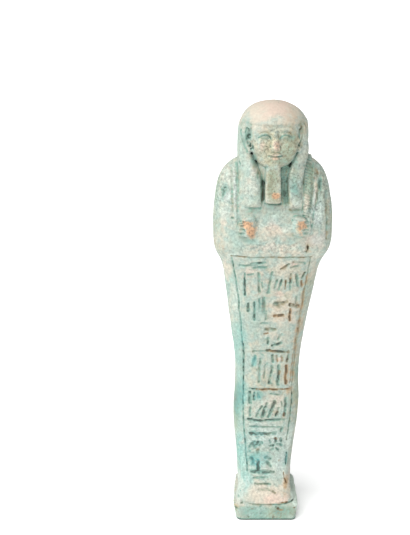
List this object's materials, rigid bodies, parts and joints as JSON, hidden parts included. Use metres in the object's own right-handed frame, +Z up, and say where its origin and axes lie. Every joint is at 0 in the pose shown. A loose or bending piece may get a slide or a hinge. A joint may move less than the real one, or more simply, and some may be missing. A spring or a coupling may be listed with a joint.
{
  "type": "ushabti figurine",
  "caption": "Mummy-shaped funerary figurine in pale green faience with crossed arms, plaited beard, plain wig, a carved panel down the front, a back pillar and a low base.",
  "frame": {"origin": "middle of the bounding box on the underside of the base, on the surface that the figure stands on", "axes": "+Z up to the crown of the head, the face looks along -Y, +X to the right of someone facing it"},
  "size_m": [0.048, 0.0276, 0.18],
  "materials": {
    "faience": "satin"
  },
  "bodies": {
    "root": {"ushabti": "faience"}
  },
  "joints": []
}
